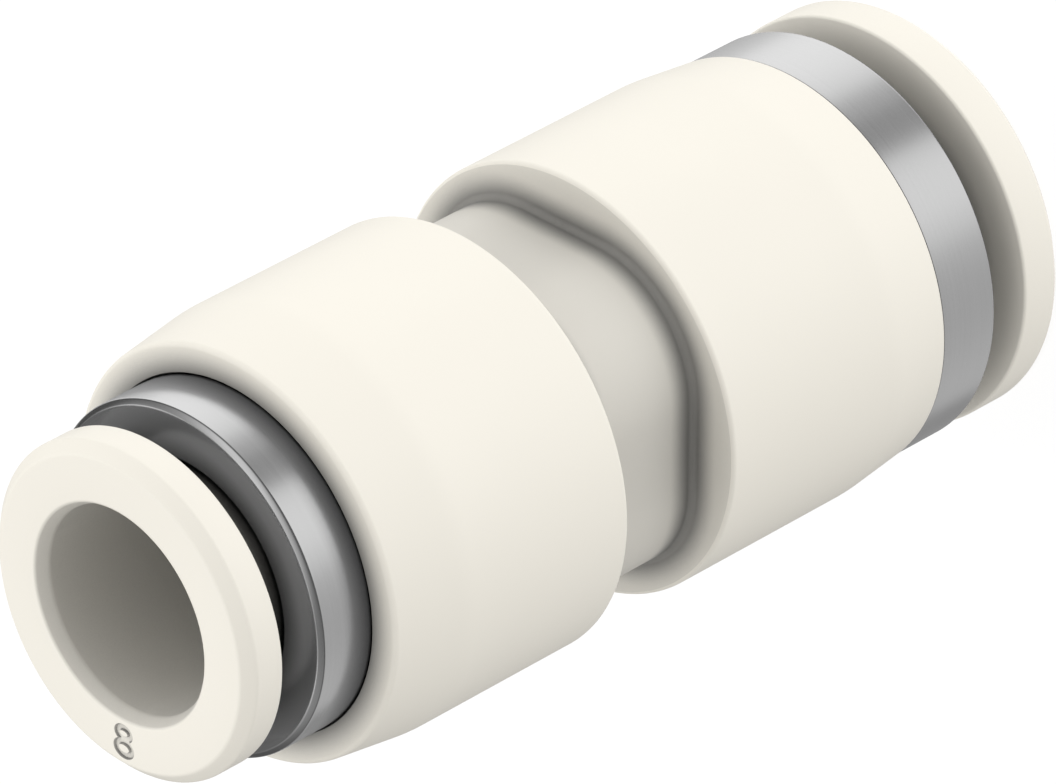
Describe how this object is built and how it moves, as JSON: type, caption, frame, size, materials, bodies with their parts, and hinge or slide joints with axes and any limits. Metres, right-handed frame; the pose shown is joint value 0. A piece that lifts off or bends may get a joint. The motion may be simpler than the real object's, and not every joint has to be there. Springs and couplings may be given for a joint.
{
  "type": "push-in fitting",
  "caption": "Straight push-in fitting that joins two sizes of plastic tube, with a waisted body, steel collars and press-to-release sleeves.",
  "frame": {"origin": "centre of the large release sleeve's outer face, on which the fitting stands", "axes": "+Z along the tube axis towards the small port, X and Y square to the waist's flats"},
  "size_m": [0.0174, 0.0174, 0.041],
  "materials": {
    "cream_plastic": "satin moulded",
    "sleeve_plastic": "satin moulded",
    "stainless": "drawn and polished",
    "spring_steel": "rolled",
    "support_plastic": "satin moulded",
    "seal_rubber": "matt"
  },
  "bodies": {
    "fitting": {"body": "cream_plastic", "collar_8": "stainless", "grab_ring_8": "spring_steel", "support_ring_8": "support_plastic", "seal_8": "seal_rubber", "collar_10": "stainless", "grab_ring_10": "spring_steel", "support_ring_10": "support_plastic", "seal_10": "seal_rubber"},
    "small_sleeve": {"release_sleeve_8": "sleeve_plastic"},
    "large_sleeve": {"release_sleeve_10": "sleeve_plastic"}
  },
  "joints": [
    {"name": "small_release", "type": "slide", "parent": "fitting", "child": "small_sleeve", "axis": [0, 0, -1], "range_m": [0, 0.0015]},
    {"name": "large_release", "type": "slide", "parent": "fitting", "child": "large_sleeve", "axis": [0, 0, 1], "range_m": [0, 0.0015]}
  ]
}
